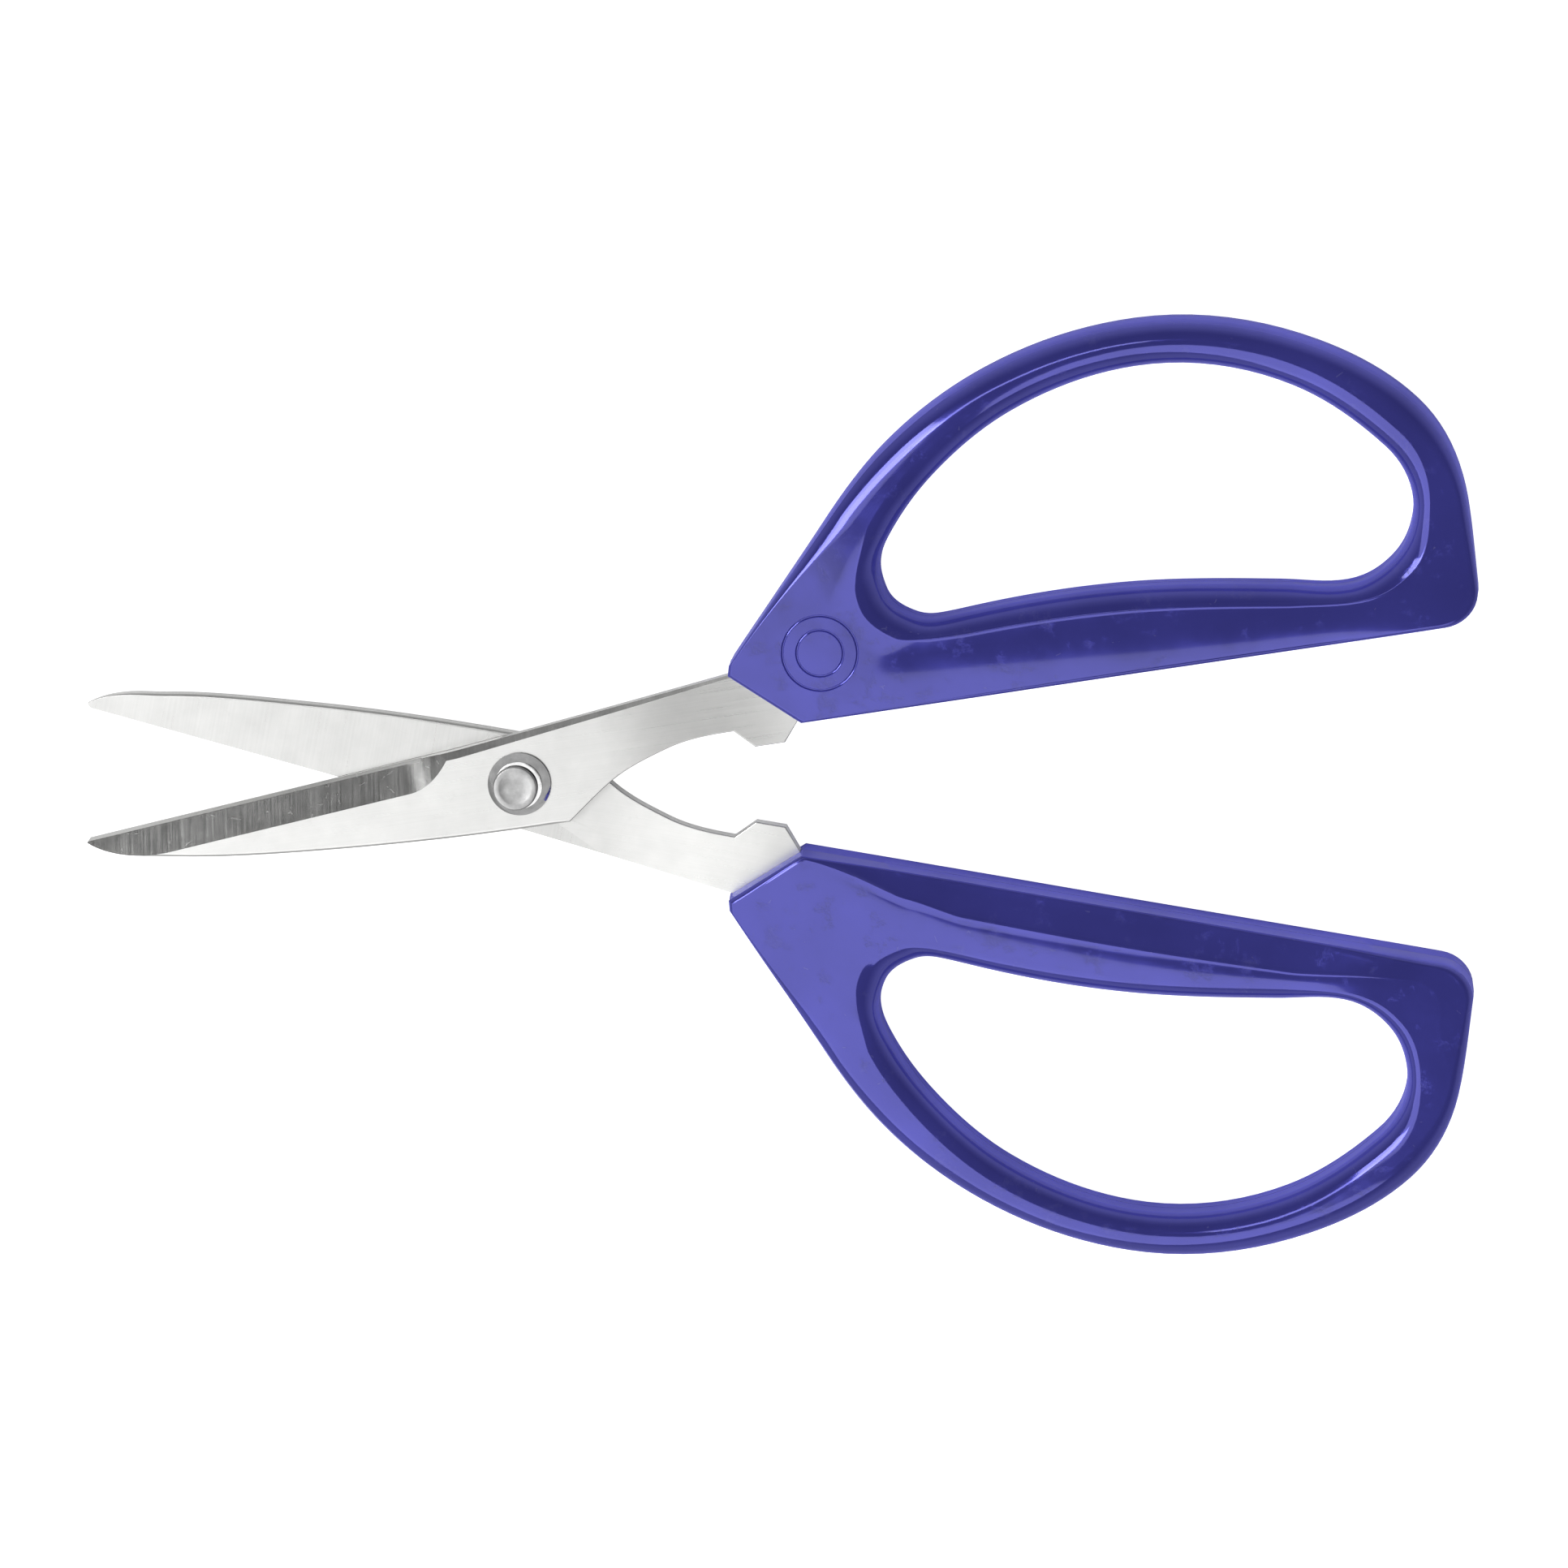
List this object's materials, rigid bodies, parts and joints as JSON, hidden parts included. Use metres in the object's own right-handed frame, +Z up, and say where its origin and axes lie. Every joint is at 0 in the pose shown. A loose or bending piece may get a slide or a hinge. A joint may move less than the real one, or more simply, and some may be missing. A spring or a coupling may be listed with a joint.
{
  "type": "household scissors",
  "caption": "Straight-bladed household scissors with wide D-shaped blue-violet loops, riveted and hinged, lying flat and slightly open.",
  "frame": {"origin": "middle of the bounding box in plan, on the plane that both handles lie on", "axes": "tips towards -X, handles towards +X, the front arm's handle on the +Y side, +Z up out of the front blade's outer face; the pivot's axis is along Z"},
  "size_m": [0.156, 0.1062, 0.0084],
  "materials": {
    "blade_steel": "brushed, with ground bevels",
    "handle_nylon": "glossy moulded nylon",
    "rivet_steel": "satin",
    "washer_steel": "polished"
  },
  "bodies": {
    "rear_arm": {"rear_blade": "blade_steel", "rear_handle": "handle_nylon", "pivot_rivet": "rivet_steel", "pivot_washer": "washer_steel"},
    "front_arm": {"front_blade": "blade_steel", "front_handle": "handle_nylon"}
  },
  "joints": [
    {"name": "pivot", "type": "hinge", "parent": "rear_arm", "child": "front_arm", "pos_m": [-0.02891, 0, 0.0042], "axis": [0, 0, 1], "range_deg": [-18.1, 110]}
  ]
}
